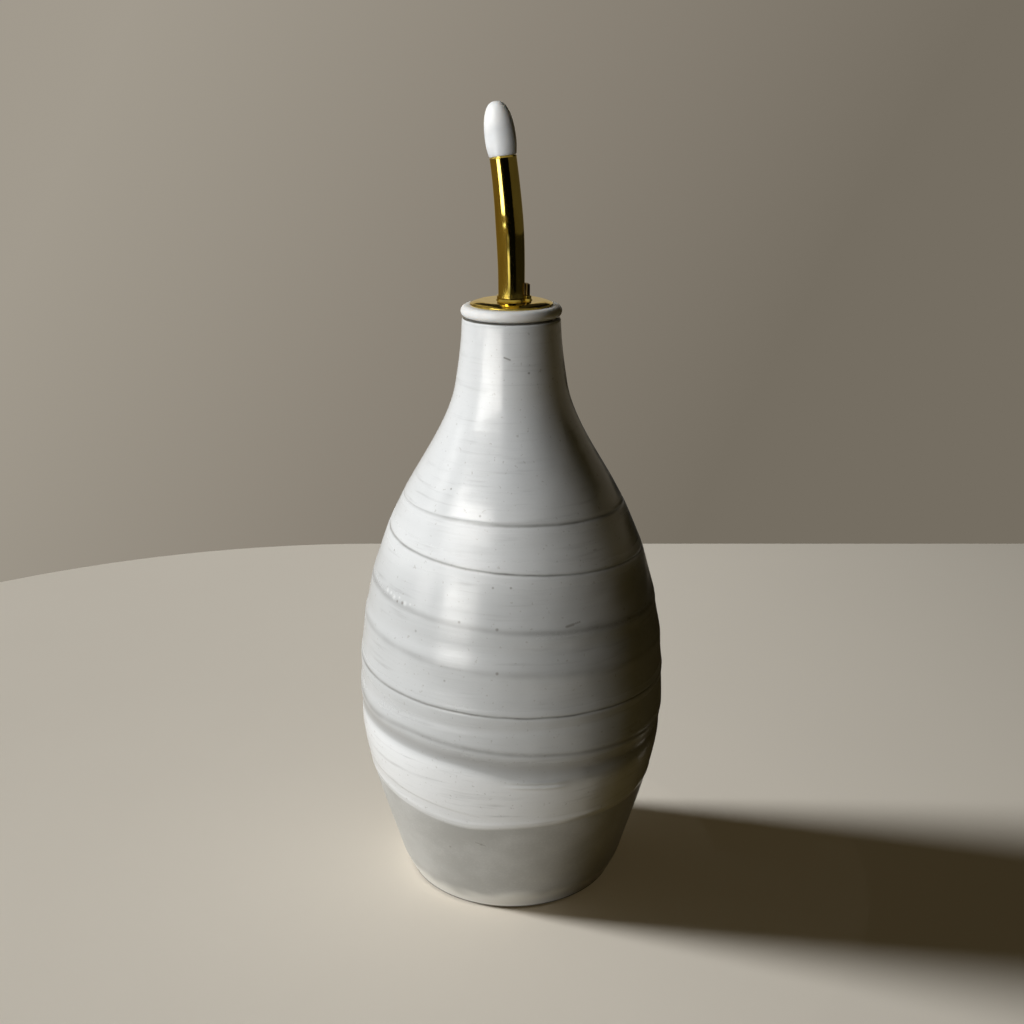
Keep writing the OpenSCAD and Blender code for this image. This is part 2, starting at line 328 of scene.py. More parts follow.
def arc(centre, radius, start, end, steps):
    """Points (r, z) of an arc about centre, angles in degrees."""
    angles = np.radians(np.linspace(start, end, steps + 1))
    return [(centre[0] + radius * math.cos(a), centre[1] + radius * math.sin(a)) for a in angles]


def grid_object(name, points, loop=False, poles=False):
    """Mesh from rows of points in millimetres, each row a ring.

    A loop joins the last row to the first. Poles close the first and the last row.
    """
    rows, columns = points.shape[:2]
    index = np.arange(rows * columns).reshape(rows, columns)
    below = index if loop else index[:-1]
    above = np.roll(index, -1, axis=0) if loop else index[1:]
    faces = np.stack([below, np.roll(below, -1, axis=1), np.roll(above, -1, axis=1), above], axis=-1)
    faces = faces.reshape(-1, 4).tolist()
    vertices = points.reshape(-1, 3)
    if poles:
        first, last = index[0], index[-1]
        pole = np.full(columns, len(vertices))
        faces += np.stack([np.roll(first, -1), first, pole], axis=-1).tolist()
        faces += np.stack([last, np.roll(last, -1), pole + 1], axis=-1).tolist()
        vertices = np.vstack([vertices, points[0].mean(axis=0), points[-1].mean(axis=0)])
    mesh = bpy.data.meshes.new(name)
    mesh.from_pydata((vertices * MM).tolist(), [], faces)
    mesh.polygons.foreach_set("use_smooth", np.ones(len(mesh.polygons), bool))
    mesh.set_sharp_from_angle(angle=SHARP_EDGE)
    piece = bpy.data.objects.new(name, mesh)
    bpy.context.scene.collection.objects.link(piece)
    return piece


def rings(radius, z, columns):
    """Points of level rings."""
    angles = column_angles(columns)
    radius, z = radius[:, None], z[:, None]
    return np.stack([radius * np.cos(angles), radius * np.sin(angles), z + 0 * angles], axis=-1)


def revolve(name, profile):
    """Turned piece from a closed loop of (r, z) points."""
    return grid_object(name, rings(*np.array(profile).T, TURNED_COLUMNS), loop=True)


def spiral_turn(z):
    """Turns from the first mark's front, down the spiral, to height z, and the pitch there."""
    turns, heights = [], []
    for n, (front, fall, _, _, _) in enumerate(MARKS):
        turns += [n - FALL_SPAN, n, n + FALL_SPAN]
        heights += [front + FALL_SPAN * fall, front, front - FALL_SPAN * fall]
    turns = [turns[0] - SPIRAL_END_TURNS] + turns + [turns[-1] + SPIRAL_END_TURNS]
    heights = [heights[0] + SPIRAL_END_FALL] + heights + [heights[-1] - SPIRAL_END_FALL]
    fine = np.linspace(turns[0], turns[-1], SPIRAL_STEPS)
    window = np.hanning(SPIRAL_WINDOW)
    level = np.interp(fine, turns, heights)
    level = np.pad(level, SPIRAL_WINDOW // 2, mode="reflect", reflect_type="odd")
    level = np.convolve(level, window / window.sum(), mode="valid")
    turn = np.interp(-z, -level, fine)
    pitch = np.interp(turn, fine, -np.gradient(level, fine))
    return turn, pitch


def mark_strength(turn):
    """Strength of the throwing mark along the spiral."""
    at, strength = [], []
    for n, (_, _, left, right, _) in enumerate(MARKS):
        at += [n - STRENGTH_SPAN, n + STRENGTH_SPAN]
        strength += [left, right]
    return np.interp(turn, at, strength, left=0, right=0)


def wall_relief(level, side):
    """How far the wall lies inside the outline, what its glaze is like, and where shade and bounce light
    are painted on it.

    Heights are a column of numbers and angles from the front a row.
    """
    left = ramp(side, *LEFT) * ramp(side, *BACK)
    turn, pitch = spiral_turn(level + LEFT_DROP * left * bell(level - LEFT_DROP_Z, LEFT_DROP_HALF))
    strength = mark_strength(turn)
    along = turn - side / TURN
    off = (along - np.round(along)) * pitch
    mark = strength * bell(off, MARK_WIDTH * (1 + MARK_SOFT * (1 - strength)))
    hollow = np.interp(turn, np.arange(len(MARKS)) + 0.5, [depth for *_, depth in MARKS])
    hollow = hollow * np.abs(np.sin(math.pi * along))
    hollow = hollow * ramp(level, *HOLLOWS_LOW) * ramp(level, *HOLLOWS_HIGH)
    trough_z = TROUGH_Z - TROUGH_FALL * np.sin(TROUGH_SWING * side) / (TROUGH_SWING * TURN)
    trough = bell(level - trough_z, TROUGH_WIDTH) * ramp(np.abs(side), *TROUGH_ENDS)
    edge_z = GLAZE_Z + GLAZE_LEFT * left + GLAZE_WAVE * np.sin(GLAZE_WAVES * side)
    edge_z = edge_z - GLAZE_RUN * bell(side - GLAZE_RUN_AT, GLAZE_RUN_WIDTH)
    bare = 1 - step(level - edge_z, GLAZE_FADE)
    roll = bell(level - edge_z - GLAZE_FADE, GLAZE_ROLL_WIDTH)
    lap = step(LAP_Z - LAP_FALL * side / TURN - level, LAP_EDGE)
    lap = lap * step(LAP_HALF - np.abs(side - LAP_AT), LAP_FADE)
    ridges = sum(bell(level + RIDGE_FALL * side / TURN - at, RIDGE_WIDTH) for at in RIDGES)
    ridges = ridges * ramp(np.abs(side - RIDGE_AT), *RIDGE_ENDS)
    band_z = trough_z - BAND_BELOW - BAND_DROP * ramp(side, *BAND_DROP_TURN)
    above_band = step(level - band_z, BAND_FADE)

    inward = MARK_DEPTH * mark + hollow + TROUGH_DEPTH * trough + GLAZE_STEP * bare
    inward = inward + LAP_STEP * lap * (1 - bare) - GLAZE_ROLL * roll - RIDGE * ridges
    inward = inward * ramp(level, FOOT_ROUND, FOOT_ROUND + FOOT_PLAIN)
    return inward, {
        "winding": np.stack([np.sin(TURN * along), np.cos(TURN * along), pitch / TURN], axis=-1),
        "strength": strength,
        "near": strength * bell(off, MARK_DULL),
        # thin glaze with painted shade in the trough, and thicker glaze with painted bounce light
        "thin_and_shaded": ramp(level, *THIN_Z) * above_band + TROUGH_SHADE_SHARE * trough,
        "thick": (1 - above_band) * (1 - BAND_BOUNCE_LOSS * ramp(side, *BAND_BOUNCE_LOSS_TURN)),
        "lap": lap,
        "bare": bare,
    }


def bottle_under():
    """Profile under the foot, from the recess out to the wall."""
    round_r = radius_at(FOOT_ROUND) - FOOT_ROUND
    profile = [
        (RECESS_RING, RECESS),
        (RECESS_R - RECESS_ROUND, RECESS),
        (RECESS_R, RECESS - RECESS_ROUND),
        (RECESS_R, RECESS_RIM),
        (RECESS_R + RECESS_RIM, 0.0),
        (round_r - FOOT_STRIP, 0.0),
    ]
    profile += arc((round_r, FOOT_ROUND), FOOT_ROUND, start=-90, end=-15, steps=4)
    return np.array(profile)


def bottle_inside():
    """Profile over the lip, down the bore and the inside of the wall, to the floor."""
    profile = arc((LIP_R - LIP_ROUND, LIP_Z - LIP_ROUND), LIP_ROUND, start=0, end=90, steps=6)
    profile += arc((NECK_BORE + MOUTH_ROUND, LIP_Z - MOUTH_ROUND), MOUTH_ROUND, start=90, end=180, steps=5)
    profile += [(NECK_BORE, z) for z in np.linspace(BORE_TOP, THROAT_Z + THROAT_EASE, BORE_ROWS)]
    floor_top = FLOOR + FLOOR_ROUND
    inside_z = np.linspace(THROAT_Z - THROAT_EASE, floor_top, INSIDE_ROWS)
    profile += zip(np.maximum(station_radius(inside_z) - WALL, NECK_BORE), inside_z)
    floor_r = radius_at(floor_top) - WALL - FLOOR_ROUND
    profile += arc((floor_r, floor_top), FLOOR_ROUND, start=0, end=-90, steps=8)[1:]
    profile += [(floor_r - inset, FLOOR) for inset in FLOOR_RINGS]
    return np.array(profile)


def bottle():
    """Thrown bottle: its relief is in the mesh, and the state of its glaze, with painted shade and painted
    bounce light, in attributes.
    """
    z = np.concatenate([
        np.arange(FOOT_ROUND, FINE_FROM, COARSE_ROW),
        np.arange(FINE_FROM, FINE_TO, FINE_ROW),
        np.arange(FINE_TO, LIP_Z - LIP_ROUND, COARSE_ROW),
    ])
    level, angles = z[:, None], column_angles(COLUMNS)
    inward, fields = wall_relief(level, from_front(angles))
    radius = station_radius(level) - inward
    wall = np.stack([radius * np.cos(angles), radius * np.sin(angles), level + 0 * angles], axis=-1)
    under, inside = bottle_under(), bottle_inside()
    points = np.concatenate([rings(*under.T, COLUMNS), wall, rings(*inside.T, COLUMNS)])
    piece = grid_object("bottle_glazed", points, poles=True)

    before, wall_points = len(under) * COLUMNS, len(z) * COLUMNS
    for name, values in fields.items():
        width = values.shape[2] if values.ndim == 3 else 1
        column = np.zeros((len(piece.data.vertices), width), np.float32)
        if name == "winding":
            column[:] = (0, -1, 1)       # half a turn away from any mark
        if name == "bare":
            column[:before] = 1
        column[before:before + wall_points] = values.reshape(-1, width)
        layer = piece.data.attributes.new(name, "FLOAT_VECTOR" if width == 3 else "FLOAT", "POINT")
        layer.data.foreach_set("vector" if width == 3 else "value", column.ravel())
    return piece


def stopper():
    """Flange, ribbed plug and bore."""
    profile = [
        (PLUG_BORE, COLLAR_Z - PLUG_EASE),
        (PLUG_BORE, LIP_Z),
        (PLUG_BORE, PLUG_Z + PLUG_EASE),
        (PLUG_BORE + PLUG_EASE, PLUG_Z),
        (PLUG_CORE - PLUG_EASE, PLUG_Z),
        (PLUG_CORE, PLUG_Z + PLUG_EASE),
    ]
    pitch = (LIP_Z - PLUG_Z - 2 * RIB_MARGIN) / RIBS
    for n in range(RIBS):
        base = PLUG_Z + RIB_MARGIN + n * pitch
        profile.append((PLUG_CORE, base))
        profile += [(RIB_R - inset, base + share * pitch) for share, inset in RIB_FORM]
        profile.append((PLUG_CORE, base + RIB_END * pitch))
    half = FLANGE / 2
    profile += [(PLUG_CORE, LIP_Z - PLUG_FILLET), (PLUG_CORE + PLUG_FILLET, LIP_Z)]
    profile += arc((FLANGE_R - half, LIP_Z + half), half, start=-90, end=90, steps=20)
    profile.append((PLUG_BORE + PLUG_EASE, COLLAR_Z))
    return revolve("stopper_moulded", profile)


def collar():
    """Crowned cover plate with holes for the spout and the vent."""
    edge = COLLAR_RIM / 2
    flat_r = COLLAR_R - edge
    top = COLLAR_Z + COLLAR_RIM + COLLAR_RISE
    hole = SPOUT_R + SOLDER_GAP
    profile = [(hole, COLLAR_Z), (flat_r, COLLAR_Z)]
    profile += arc((flat_r, COLLAR_Z + edge), edge, start=-90, end=90, steps=10)[1:]
    for t in np.linspace(0, 1, COLLAR_ROWS)[1:]:
        profile.append((flat_r - t * (flat_r - COLLAR_CROWN), top - COLLAR_RISE * (1 - t) ** 2))
    profile += [(hole + COLLAR_HOLE_ROW, top), (hole, top)]
    piece = revolve("collar_pressed", profile)
    bpy.ops.mesh.primitive_cylinder_add(
        vertices=DRILL_SIDES, radius=(VENT_R + SOLDER_GAP) * MM, depth=DRILL_DEPTH * MM,
        location=(VENT_X * MM, 0, COLLAR_Z * MM))
    drill = bpy.context.object
    cut = piece.modifiers.new("vent hole", "BOOLEAN")
    cut.object = drill
    cut.solver = "EXACT"
    with bpy.context.temp_override(object=piece, active_object=piece):
        bpy.ops.object.modifier_apply(modifier=cut.name)
    bpy.data.objects.remove(drill)
    return piece


def swept(s, radius):
    """Rings along the spout's centre line, s above its foot, with a radius for each row and column."""
    turned = np.clip((s - SPOUT_STRAIGHT) / BEND_R, 0, BEND)
    past = np.clip(s - SPOUT_LENGTH, 0, None)
    x = -BEND_R * (1 - np.cos(turned)) - past * np.sin(turned)
    z = COLLAR_Z + np.minimum(s, SPOUT_STRAIGHT) + BEND_R * np.sin(turned) + past * np.cos(turned)
    angles = column_angles(radius.shape[1])
    sideways = radius * np.cos(angles)
    lean = turned[:, None]
    return np.stack([
        x[:, None] + sideways * np.cos(lean),
        radius * np.sin(angles),
        z[:, None] + sideways * np.sin(lean),
    ], axis=-1)


def spout():
    """Bent tube with a step, a reduced tip and an open bore."""
    end = SPOUT_LENGTH + TIP
    web = SPOUT_LENGTH - TIP_WEB
    outside = [(s, SPOUT_R) for s in np.linspace(0, SPOUT_LENGTH - SPOUT_EASE[0][0], SPOUT_ROWS)]
    outside += [(SPOUT_LENGTH - below, SPOUT_R - inset) for below, inset in SPOUT_EASE[1:]]
    outside.append((SPOUT_LENGTH, TIP_R))
    outside += [(s, TIP_R) for s in np.linspace(SPOUT_LENGTH + STEP_ROW, end - TIP_EASE[0][0], TIP_ROWS)]
    outside += [(end - below, TIP_R - inset) for below, inset in TIP_EASE[1:]]
    mouth = TIP_EASE[0][0]
    bore = [(end, TIP_BORE + mouth), (end - mouth, TIP_BORE), (web, TIP_BORE), (web, SPOUT_BORE)]
    bore += [(s, SPOUT_BORE) for s in np.linspace(web - STEP_ROW, 0, SPOUT_BORE_ROWS)]
    s, radius = np.array(outside + bore).T
    side = from_front(column_angles(SPOUT_COLUMNS))
    skin = (np.arange(len(s)) < SPOUT_ROWS)[:, None]
    at = s[:, None]
    bulge = SWELL * bell(at - SWELL_AT, SWELL_WIDTH) - sum(
        depth * bell(at - dent_at, width) * bell(side - turn, spread)
        for dent_at, turn, width, spread, depth in SPOUT_DENTS)
    return grid_object("spout_bent", swept(s, radius[:, None] + skin * bulge), loop=True)


def vent():
    """Thin tube, cut at a slant on top."""
    angles = column_angles(VENT_COLUMNS)
    rows = []
    outside = ((VENT_R, VENT_FROM), (VENT_R, COLLAR_Z), (VENT_R, None))
    for radius, level in (*outside, (VENT_BORE, None), (VENT_BORE, VENT_FROM)):
        slant = VENT_TO - (VENT_R + radius * np.cos(angles)) * math.tan(VENT_SLOPE)
        z = slant if level is None else np.full(VENT_COLUMNS, level)
        rows.append(np.stack([VENT_X + radius * np.cos(angles), radius * np.sin(angles), z], axis=-1))
    return grid_object("vent_drawn", np.array(rows), loop=True)


def dust_cap():
    """Egg-shaped cap, from the end of its hollow out over the lip and up to the crown."""
    hollow_end = TIP + CAP_HOLLOW_PAST
    profile = [(hollow_end - below, CAP_HOLLOW * share) for below, share in CAP_DOME]
    profile += [(height, CAP_HOLLOW + flare) for height, flare in CAP_MOUTH]
    profile += [(height, CAP_BASE - inset) for height, inset in CAP_EDGE_FORM]
    for t in np.linspace(0, 1, CAP_BASE_ROWS)[:-1]:
        swell = (CAP_WIDE - CAP_BASE) * math.sin(t * math.pi / 2)
        profile.append((CAP_EDGE + (CAP_WIDE_AT - CAP_EDGE) * t, CAP_BASE + swell))
    for t in np.sin(np.linspace(0, CAP_CROWN_TO, CAP_CROWN_ROWS)):
        taper = 1 - CAP_TAPER * t**CAP_TAPER_POWER
        narrow = taper * (1 - t**CAP_BLUNT) ** (1 / CAP_BLUNT)
        profile.append((CAP_WIDE_AT + (CAP - CAP_WIDE_AT) * t, CAP_WIDE * narrow))
    s, radius = np.array(profile).T
    radius = np.repeat(radius[:, None], CAP_COLUMNS, axis=1)
    return grid_object("cap_moulded", swept(SPOUT_LENGTH + CAP_GAP + s, radius), poles=True)


# Noises: cycles a millimetre along x, y and z, and detail
NOISE_ROUGHNESS = 0.55
STREAKS = ((0.012, 0.012, 0.4), 4)
CLOUD = ((0.05, 0.05, 0.07), 4)
GRAIN = ((1.3, 1.3, 1.6), 2)
WAVES = ((0.07, 0.07, 0.11), 1)
RINGS = ((0.05, 0.05, 0.75), 3)
FRECKLES = ((0.8, 0.8, 0.8), 1)
MARK_WANDER = ((0.09, 0.09, 0.09), 3)
MARK_FITFUL = ((0.13, 0.13, 0.13), 3)
MOTTLE = ((0.25, 0.25, 0.25), 3)
SILICONE_GRAIN = ((4.0, 4.0, 4.0), 2)
SMEAR = ((0.45, 0.45, 0.09), 4)
METAL_GRAIN = ((3.0, 3.0, 3.0), 3)
TABLE_CLOUD = ((0.004, 0.004, 0.004), 4)


class Nodes:
    """Short hand for a node tree."""

    def __init__(self, tree):
        self.tree = tree

    def put(self, value, socket):
        if isinstance(value, bpy.types.NodeSocket):
            self.tree.links.new(value, socket)
        elif socket.type == "RGBA":
            socket.default_value = (*value, 1)
        else:
            socket.default_value = value

    def add(self, kind, inputs=None, **settings):
        node = self.tree.nodes.new(kind)
        for key, value in settings.items():
            setattr(node, key, value)
        for key, value in (inputs or {}).items():
            self.put(value, node.inputs[key])
        return node

    def math(self, operation, *values, clamp=False):
        inputs = dict(enumerate(values))
        return self.add("ShaderNodeMath", inputs, operation=operation, use_clamp=clamp).outputs[0]

    def total(self, *terms, base=0.0, clamp=False):
        """Sum of base and of (value, weight) terms. Only the sum is clamped."""
        for n, (value, weight) in enumerate(terms, start=1):
            base = self.math("MULTIPLY_ADD", value, weight, base, clamp=clamp and n == len(terms))
        return base

    def vector(self, operation, first, second, part="Vector"):
        inputs = {0: first, 1: second}
        return self.add("ShaderNodeVectorMath", inputs, operation=operation).outputs[part]

    def span(self, value, start, end):
        """0 before start, 1 past end, straight between."""
        inputs = {"Value": value, "From Min": start, "From Max": end}
        return self.add("ShaderNodeMapRange", inputs).outputs[0]

    def ramp(self, value, *stops, interpolation="EASE"):
        """Colour from (place, colour) stops."""
        node = self.add("ShaderNodeValToRGB", {"Fac": value})
        node.color_ramp.interpolation = interpolation
        elements = node.color_ramp.elements
        while len(elements) < len(stops):
            elements.new(0.5)
        for element, (at, colour) in zip(elements, stops):
            element.position = at
            element.color = (*colour, 1)
        return node.outputs["Color"]

    def rise(self, value, start, end):
        """0 before start, 1 past end, an S between."""
        return self.ramp(value, (start, (0, 0, 0)), (end, (1, 1, 1)))

    def mix(self, amount, first, second, share=1.0):
        """The first colour, with that share of the second where amount is 1."""
        if share != 1:
            amount = self.math("MULTIPLY", amount, share, clamp=True)
        node = self.add("ShaderNodeMix", data_type="RGBA")
        for name, value in (("Factor", amount), ("A", first), ("B", second)):
            self.put(value, next(s for s in node.inputs if s.name == name and s.enabled))
        return next(s for s in node.outputs if s.enabled)

    def split(self, value):
        """Parts x, y and z of a vector."""
        return self.add("ShaderNodeSeparateXYZ", {0: value}).outputs

    def attribute(self, name, part="Fac"):
        return self.add("ShaderNodeAttribute", attribute_name=name).outputs[part]

    def seen(self):
        """1 for what the camera sees, also in metal or through glass."""
        path = self.add("ShaderNodeLightPath").outputs
        seen = path["Is Camera Ray"]
        for kind in ("Is Glossy Ray", "Is Transmission Ray"):
            seen = self.math("MAXIMUM", seen, path[kind])
        return seen


class Surface(Nodes):
    """A material's nodes, made with values for its shader's sockets."""

    def __init__(self, name, **sockets):
        self.material = bpy.data.materials.new(name)
        self.material.use_nodes = True
        super().__init__(self.material.node_tree)
        self.shader = self.tree.nodes["Principled BSDF"]
        for socket, value in sockets.items():
            self.to(socket.replace("_", " "), value)

    @cached_property
    def place(self):
        """Place on the object, in millimetres."""
        place = self.add("ShaderNodeTexCoord").outputs["Object"]
        return self.vector("MULTIPLY", place, (1 / MM, 1 / MM, 1 / MM))

    @cached_property
    def height(self):
        return self.split(self.place)["Z"]

    def noise(self, stretch, detail):
        """Noise of about 0 to 1, stretch in cycles a millimetre along x, y and z."""
        place = self.vector("MULTIPLY", self.place, stretch)
        inputs = {"Vector": place, "Scale": 1.0, "Detail": detail, "Roughness": NOISE_ROUGHNESS}
        return self.add("ShaderNodeTexNoise", inputs).outputs["Fac"]

    def bump(self, height, strength, distance):
        inputs = {"Height": height, "Strength": strength, "Distance": distance * MM}
        self.to("Normal", self.add("ShaderNodeBump", inputs).outputs["Normal"])

    def to(self, socket, value):
        self.put(value, self.shader.inputs[socket])


# Stoneware: colours, sizes in millimetres, and shares
WHITE_GLAZE = (0.82, 0.83, 0.83)
GREY_GLAZE = (0.60, 0.61, 0.61)
# thicker glaze, with painted bounce light from the table
THICK_GLAZE_AND_BOUNCE = (0.95, 0.96, 0.965)
# painted shade in the trough
TROUGH_SHADE = (0.36, 0.355, 0.345)
RING_GREY = (0.42, 0.42, 0.415)
FRECKLE_BROWN = (0.3, 0.27, 0.23)
CLAY = (0.47, 0.465, 0.44)
PALE_CLAY = (0.61, 0.605, 0.58)
FOOT_PALE = (0.92, 0.91, 0.87)
# painted contact shadow along the foot's edge
FOOT_CONTACT_SHADOW = (0.13, 0.115, 0.095)
# painted shadow of the gap under the stopper
LIP_SEAM_SHADOW = (0.1, 0.095, 0.085)
MARK_DARK = (0.12, 0.115, 0.105)
BLEB_WHITE = (0.95, 0.95, 0.94)
SPECK_BROWN = (0.15, 0.125, 0.1)
GLAZE_IOR = 1.6
LINE_WIDTH = 0.26
LINE_SOFT = 4.0                          # how much wider the weak parts are
LINE_WANDER = 0.7
LINE_LEAST = 0.35
LINE_SHARE = 0.85
UNEVEN_STREAKS = 0.49                    # the glaze is uneven by streaks and cloud
UNEVEN_CLOUD = 0.91
UNEVEN_SHARE = 0.6
THIN_AND_SHADE_SHARE = 0.7
RING_RISE = (0.52, 0.8)                  # a rise is the span of a noise that goes from none to all
RING_PATCHES = (0.35, 0.65)
RING_SHARE = 0.5
FRECKLE_RISE = (0.69, 0.76)
FRECKLE_SHARE = 0.3
LAP_SHARE = 0.15
BLEB_SHARE = 0.65
SPECK_SHARE = 0.8
SPOT_SPREAD = 1.3
CLAY_CLOUD = 0.7
CLAY_GRAIN = 0.3
CLAY_RISE = (0.35, 0.7)
BARE_GRAIN = 0.25                        # the grain breaks the edge of the bare clay
FOOT_PALE_BASE = 0.85                         # the foot is paler, less so with height, in waves
FOOT_PALE_FALL = -0.19
FOOT_PALE_WAVES = 1.5
FOOT_PALE_RISE = (0.1, 0.9)
GLAZE_ROUGHNESS = 0.2
NEAR_ROUGHNESS = 0.14
BARE_ROUGHNESS = 0.2
UNEVEN_ROUGHNESS = 0.12
STREAK_RELIEF = 0.7
WAVE_RELIEF = 1.8
GRAIN_RELIEF = 0.06
FOOT_CONTACT_EDGE = (0.9, 0.5)                   # painted contact shadow under the foot, from here down
SEAM_Z = LIP_Z - 0.55                    # painted shadow of the gap under the stopper darkens the lip from here
SEAM_FADE = 0.2


def mark_line(g):
    """The throwing mark as a dark line, thin where it is strong and soft where it is weak."""
    sine, cosine, radius = g.split(g.attribute("winding", "Vector"))
    wander = g.total((g.noise(*MARK_WANDER), LINE_WANDER), base=-LINE_WANDER / 2)
    off = g.math("MULTIPLY_ADD", g.math("ARCTAN2", sine, cosine), radius, wander)
    strength = g.attribute("strength")
    weak = g.math("SUBTRACT", 1.0, strength, clamp=True)
    width = g.total((weak, LINE_WIDTH * LINE_SOFT), base=LINE_WIDTH)
    share = g.math("DIVIDE", off, width)
    line = g.math("EXPONENT", g.math("MULTIPLY", g.math("MULTIPLY", share, share), -1.0))
    fitful = g.math("ADD", g.noise(*MARK_FITFUL), LINE_LEAST)
    return g.math("MULTIPLY", g.math("MULTIPLY", line, strength), fitful, clamp=True)


def glaze_spots(g, places):
    """1 at the middle of each spot, 0 outside all of them."""
    spots = 0.0
    for degrees, z, radius in places:
        angle = FRONT + math.radians(degrees)
        r = radius_at(z)
        place = (r * math.cos(angle), r * math.sin(angle), z)
        away = g.vector("DISTANCE", g.place, place, "Value")
        spot = g.math("SUBTRACT", 1.0, g.math("DIVIDE", away, SPOT_SPREAD * radius), clamp=True)
        spots = g.math("MAXIMUM", spots, spot)
    return spots


def glaze_tone(g, uneven, cloud):
    """White, grey where the glaze thins, with painted shade in the trough and painted bounce light on the
    band below it, with throwing rings and freckles.
    """
    thin_and_shaded = g.attribute("thin_and_shaded")
    grey_and_shade = g.total((thin_and_shaded, THIN_AND_SHADE_SHARE), (uneven, UNEVEN_SHARE), clamp=True)
    tone = g.mix(grey_and_shade, WHITE_GLAZE, GREY_GLAZE)
    # thicker glaze in the band below the trough, with painted bounce light from the table
    tone = g.mix(g.attribute("thick"), tone, THICK_GLAZE_AND_BOUNCE)
    # painted shade in the trough
    tone = g.mix(g.math("SUBTRACT", thin_and_shaded, 1.0, clamp=True), tone, TROUGH_SHADE)
    patches = g.rise(cloud, *RING_PATCHES)
    fine_rings = g.math("MULTIPLY", g.rise(g.noise(*RINGS), *RING_RISE), patches)
    tone = g.mix(fine_rings, tone, RING_GREY, RING_SHARE)
    freckles = g.rise(g.noise(*FRECKLES), *FRECKLE_RISE)
    tone = g.mix(freckles, tone, FRECKLE_BROWN, FRECKLE_SHARE)
    return g.mix(g.attribute("lap"), tone, GREY_GLAZE, LAP_SHARE)


def body_tone(g, cloud, grain, waves):
    """Bare clay, paler towards the foot in waves, with painted contact shadow along the foot's edge."""
    shade = g.rise(g.total((cloud, CLAY_CLOUD), (grain, CLAY_GRAIN)), *CLAY_RISE)
    tone = g.mix(shade, CLAY, PALE_CLAY)
    paleness = g.total((g.height, FOOT_PALE_FALL), (waves, FOOT_PALE_WAVES), base=FOOT_PALE_BASE)
    tone = g.mix(g.rise(paleness, *FOOT_PALE_RISE), tone, FOOT_PALE)
    # painted contact shadow along the foot's edge
    return g.mix(g.span(g.height, *FOOT_CONTACT_EDGE), tone, FOOT_CONTACT_SHADOW)


def glaze_material():
    """Glaze over clay, by the attributes that the bottle's mesh carries."""
    g = Surface("stoneware_glaze", IOR=GLAZE_IOR)
    streaks, cloud, grain, waves = (g.noise(*kind) for kind in (STREAKS, CLOUD, GRAIN, WAVES))
    middle = -(UNEVEN_STREAKS + UNEVEN_CLOUD) / 2
    uneven = g.total((streaks, UNEVEN_STREAKS), (cloud, UNEVEN_CLOUD), base=middle)
    bare = g.total((g.attribute("bare"), 1.0), (grain, BARE_GRAIN), base=-BARE_GRAIN / 2, clamp=True)
    colour = g.mix(bare, glaze_tone(g, uneven, cloud), body_tone(g, cloud, grain, waves))
    # painted shadow in the gap between the lip and the stopper
    colour = g.mix(g.span(g.height, SEAM_Z, SEAM_Z + SEAM_FADE), colour, LIP_SEAM_SHADOW)
    colour = g.mix(mark_line(g), colour, MARK_DARK, LINE_SHARE)
    colour = g.mix(glaze_spots(g, BLEBS), colour, BLEB_WHITE, BLEB_SHARE)
    nicks = [(*place, radius) for start, end, radius in NICKS
             for place in np.linspace(start, end, NICK_SPOTS)]
    colour = g.mix(glaze_spots(g, (*SPECKS, *nicks)), colour, SPECK_BROWN, SPECK_SHARE)
    g.to("Base Color", colour)
    g.to("Roughness", g.total(
        (g.attribute("near"), NEAR_ROUGHNESS), (bare, BARE_ROUGHNESS), (uneven, UNEVEN_ROUGHNESS),
        base=GLAZE_ROUGHNESS))
    relief = g.total((streaks, STREAK_RELIEF), (waves, WAVE_RELIEF), (grain, GRAIN_RELIEF))
    g.bump(relief, strength=0.5, distance=0.25)
    return g.material


# Silicone and gold-tone metal
SILICONE_IOR = 1.45
SILICONE_RADIUS = (1, 0.95, 0.9)
MOTTLE_RISE = (0.35, 0.75)
MOTTLE_DULL = 0.94
MOTTLE_ROUGHNESS = 0.1
SMEAR_FROM = 0.3
SMEAR_TO = 0.75
SMEAR_ROUGHNESS = 0.08
SMEAR_RELIEF = 1.2
METAL_ROUGHNESS = 0.05
METAL_RELIEF = 0.1


def silicone_material(name, colour, roughness, depth):
    """Satin silicone that light enters to that depth, in millimetres."""
    g = Surface(name, IOR=SILICONE_IOR, Subsurface_Weight=1.0, Subsurface_Radius=SILICONE_RADIUS,
                Subsurface_Scale=depth * MM)
    mottle = g.noise(*MOTTLE)
    dull = [MOTTLE_DULL * c for c in colour]
    g.to("Base Color", g.mix(g.rise(mottle, *MOTTLE_RISE), colour, dull))
    g.to("Roughness", g.total((mottle, MOTTLE_ROUGHNESS), base=roughness))
    g.bump(g.noise(*SILICONE_GRAIN), strength=0.08, distance=0.05)
    return g.material


def gold_material(name, light, dark):
    """Polished metal with a faint smear."""
    g = Surface(name, Metallic=1.0)
    smear = g.noise(*SMEAR)
    g.to("Base Color", g.ramp(smear, (SMEAR_FROM, light), (SMEAR_TO, dark)))
    g.to("Roughness", g.total((smear, SMEAR_ROUGHNESS), base=METAL_ROUGHNESS))
    relief = g.total((smear, SMEAR_RELIEF), (g.noise(*METAL_GRAIN), METAL_RELIEF))
    g.bump(relief, strength=1.0, distance=0.03)
    return g.material


GLAZE = glaze_material()
STOPPER_WHITE = silicone_material("stopper_white", colour=(0.9, 0.89, 0.87), roughness=0.35, depth=1.0)
CAP_WHITE = silicone_material("cap_white", colour=(0.89, 0.88, 0.855), roughness=0.25, depth=3.0)
GOLD = gold_material("gold_tone_metal", light=(0.84, 0.66, 0.15), dark=(0.72, 0.54, 0.11))
